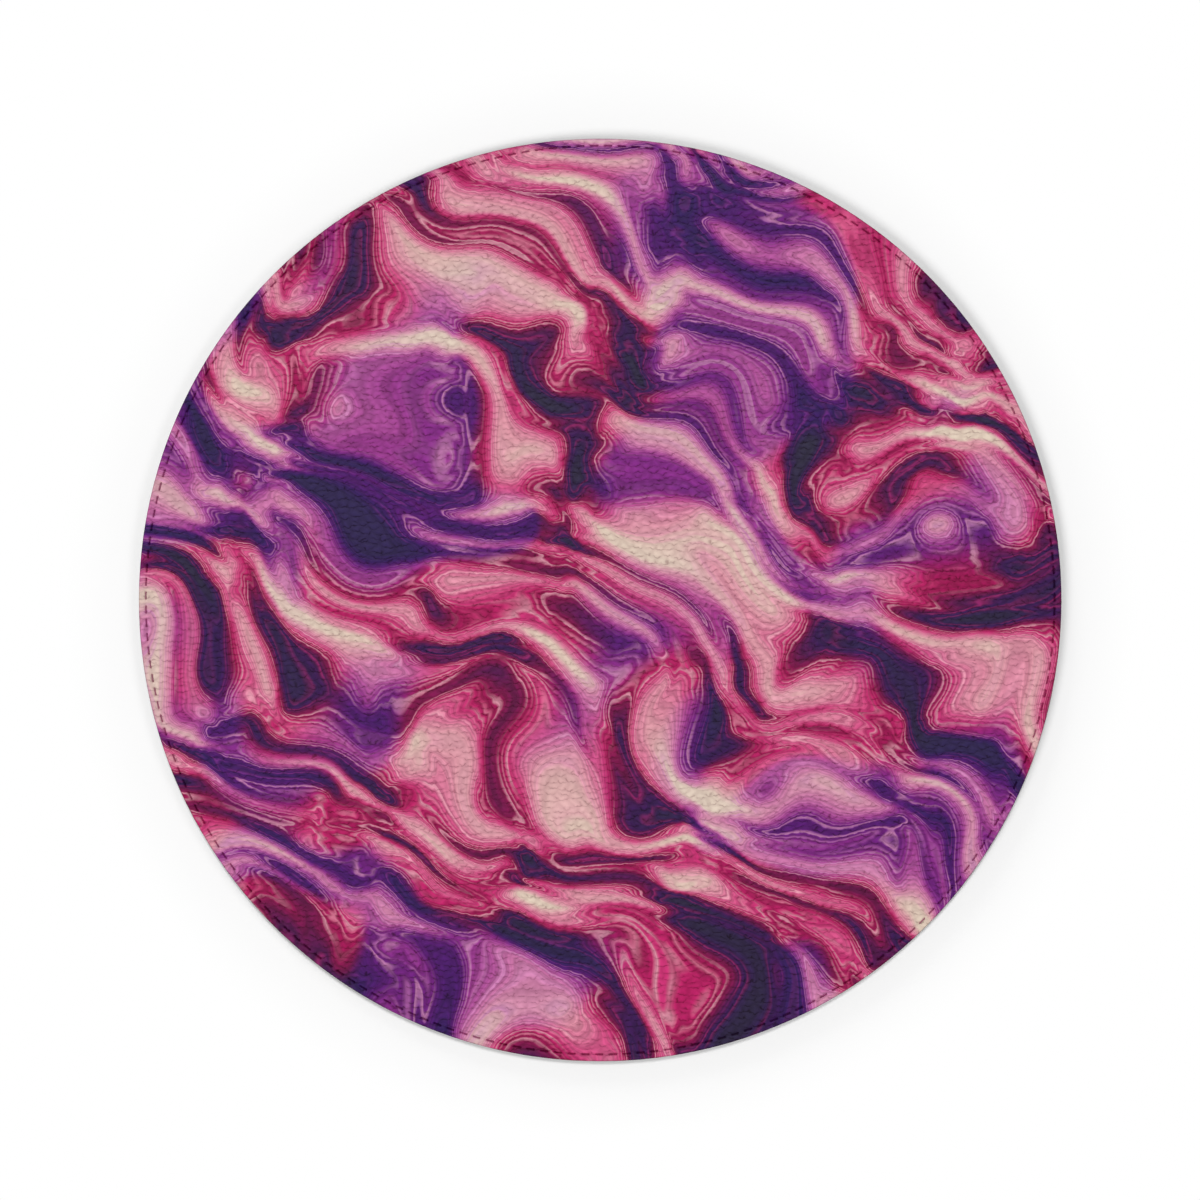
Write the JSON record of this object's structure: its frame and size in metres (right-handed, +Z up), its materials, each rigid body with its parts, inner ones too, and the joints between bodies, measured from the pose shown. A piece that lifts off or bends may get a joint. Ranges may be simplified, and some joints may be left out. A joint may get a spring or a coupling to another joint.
{
  "type": "mouse pad",
  "caption": "Round flat mouse pad with a printed leather-grain face, glued on a foam core and a suede-like base, and sewn along the rim.",
  "frame": {"origin": "centre of the underside, on the desk plane", "axes": "+Z up out of the mousing face, +Y away from the user, +X to the user's right"},
  "size_m": [0.22, 0.22, 0.003],
  "materials": {
    "suede": "matte",
    "glue": "satin",
    "foam": "matte",
    "knit": "matte",
    "face_film": null,
    "upper_thread": null,
    "lower_thread": null
  },
  "bodies": {
    "root": {"suede_base": "suede", "lower_glue_film": "glue", "foam_core": "foam", "upper_glue_film": "glue", "knit_backing": "knit", "printed_face": "face_film", "needle_thread": "upper_thread", "bobbin_thread": "lower_thread"}
  },
  "joints": []
}
